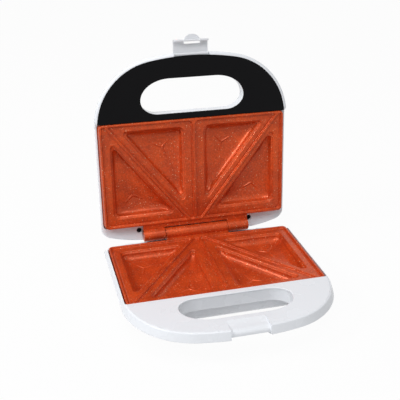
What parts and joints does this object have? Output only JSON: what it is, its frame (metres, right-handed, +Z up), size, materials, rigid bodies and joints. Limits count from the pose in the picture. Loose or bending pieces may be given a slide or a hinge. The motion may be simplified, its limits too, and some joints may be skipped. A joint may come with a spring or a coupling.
{
  "type": "sandwich maker",
  "caption": "Hinged electric sandwich maker standing open: base and lid with cast plates of triangular pockets, D-shaped handles and a swinging latch.",
  "frame": {"origin": "middle of the standing surface under the whole open machine", "axes": "+X to the right, handles towards -Y, +Z up; the lid stands open at the rear"},
  "size_m": [0.2288, 0.2626, 0.2769],
  "materials": {
    "white_casing": "gloss",
    "black_cover": "satin",
    "speckled_coating": "speckled non-stick coating",
    "clear_grey": "translucent",
    "plated_steel": "plated",
    "element_steel": "oxidised",
    "reflector_sheet": "mill",
    "rubber": "matt",
    "brown_moulding": "moulded",
    "red_lens": "clear",
    "green_lens": "clear"
  },
  "bodies": {
    "base": {"base_cover_screw_left": "plated_steel", "base_cover_screw_right": "plated_steel", "base_handle_cover": "white_casing", "base_screw_front_left": "plated_steel", "base_screw_front_right": "plated_steel", "base_screw_rear_left": "plated_steel", "base_screw_rear_right": "plated_steel", "base_shell": "white_casing", "cord_gland": "rubber", "foot_front_left": "rubber", "foot_front_right": "rubber", "foot_rear_left": "rubber", "foot_rear_right": "rubber", "hinge_pin_left": "plated_steel", "hinge_pin_right": "plated_steel", "lower_element": "element_steel", "lower_plate": "speckled_coating", "lower_reflector": "reflector_sheet", "terminal_block": "brown_moulding", "thermal_fuse": "plated_steel", "thermostat": "brown_moulding"},
    "lid": {"lamp_board": "brown_moulding", "latch_pin": "plated_steel", "lid_cover_screw_left": "plated_steel", "lid_cover_screw_right": "plated_steel", "lid_handle_cover": "black_cover", "lid_rear_screw_left": "plated_steel", "lid_rear_screw_right": "plated_steel", "lid_shell": "white_casing", "power_lens": "red_lens", "ready_lens": "green_lens", "reflector_screw_front_left": "plated_steel", "reflector_screw_front_right": "plated_steel", "reflector_screw_rear_left": "plated_steel", "reflector_screw_rear_right": "plated_steel", "upper_element": "element_steel", "upper_plate": "speckled_coating", "upper_reflector": "reflector_sheet"},
    "latch": {"latch": "clear_grey"}
  },
  "joints": [
    {"name": "lid_hinge", "type": "hinge", "parent": "base", "child": "lid", "pos_m": [0, 0.08286, 0.0442], "axis": [1, 0, 0], "range_deg": [0, 95.25]},
    {"name": "latch_pivot", "type": "hinge", "parent": "lid", "child": "latch", "pos_m": [0, 0.1082, 0.25436], "axis": [1, 0, 0], "range_deg": [0, 90]}
  ]
}
